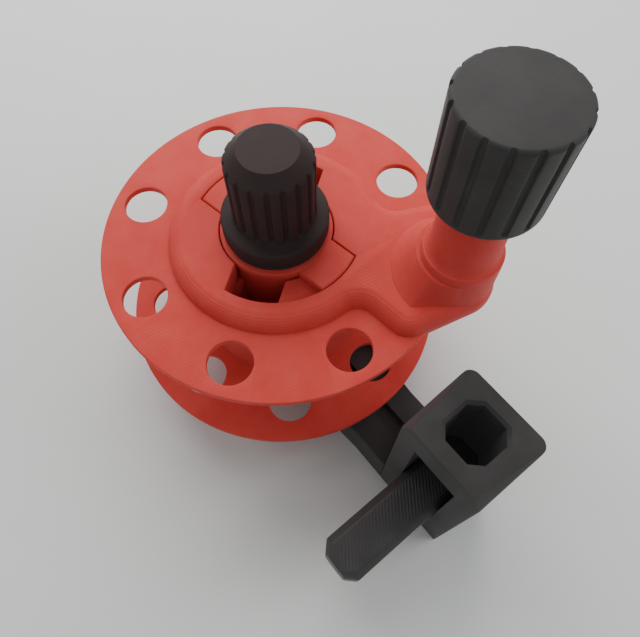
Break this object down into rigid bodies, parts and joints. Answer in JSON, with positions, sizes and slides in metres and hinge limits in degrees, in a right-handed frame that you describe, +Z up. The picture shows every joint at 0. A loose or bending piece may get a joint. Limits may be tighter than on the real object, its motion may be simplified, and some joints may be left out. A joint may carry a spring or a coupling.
{
  "type": "fishing reel",
  "caption": "Hand-wound fishing reel: flanged spool with a bayonet crank plate, winding knob and drag knob on a flat arm with a socket block and peg.",
  "frame": {"origin": "on the spool's axis at the underside of the arm, where the reel rests on a table", "axes": "+Z up along the spool's axis, +X from the spool along the arm to the block, -Y the way the peg points"},
  "size_m": [0.1394, 0.1, 0.1191],
  "materials": {
    "red_print": "satin printed PLA",
    "black_print": "satin printed PETG",
    "zinc_steel": "zinc plated",
    "brass": "turned",
    "nylon": "natural nylon",
    "felt": "pressed wool felt"
  },
  "bodies": {
    "frame": {"frame_arm": "black_print", "mount_block": "black_print", "arm_screws": "zinc_steel", "spindle_bolt": "zinc_steel", "spindle_nut": "zinc_steel", "thrust_washer": "nylon"},
    "spool": {"spool_drum": "red_print", "bayonet_hub": "red_print", "hub_screws": "zinc_steel", "lower_bush": "brass", "upper_bush": "brass", "drag_felt": "felt"},
    "crank": {"crank_plate": "red_print", "handle_bolt": "zinc_steel", "handle_nut": "zinc_steel", "knob_washer": "zinc_steel", "knob_lock_nut": "zinc_steel"},
    "winding_knob": {"winding_knob": "black_print", "knob_bush": "brass", "knob_cap": "black_print"},
    "drag_press": {"pressure_washer": "zinc_steel"},
    "drag_knob": {"drag_knob": "black_print", "drag_insert": "brass"},
    "peg": {"foot_peg": "black_print"}
  },
  "joints": [
    {"name": "spool_spin", "type": "hinge", "parent": "frame", "child": "spool", "pos_m": [0, 0, 0.036], "axis": [0, 0, 1], "continuous": true},
    {"name": "bayonet_twist", "type": "hinge", "parent": "spool", "child": "crank", "pos_m": [0, 0, 0.055], "axis": [0, 0, 1], "range_deg": [0, 65]},
    {"name": "winding_knob_spin", "type": "hinge", "parent": "crank", "child": "winding_knob", "pos_m": [0.04105, 0.02907, 0.106], "axis": [0, 0, 1], "continuous": true},
    {"name": "drag_lift", "type": "slide", "parent": "frame", "child": "drag_press", "axis": [0, 0, 1], "range_m": [0, 0.0025]},
    {"name": "drag_turn", "type": "hinge", "parent": "drag_press", "child": "drag_knob", "pos_m": [0, 0, 0.075], "axis": [0, 0, 1], "range_deg": [0, 720]},
    {"name": "peg_slide", "type": "slide", "parent": "frame", "child": "peg", "axis": [0, -1, 0], "range_m": [0, 0.012]}
  ],
  "couplings": [
    {"joint": "drag_turn", "follows": "drag_lift", "rad_per_m": 5026.5}
  ]
}
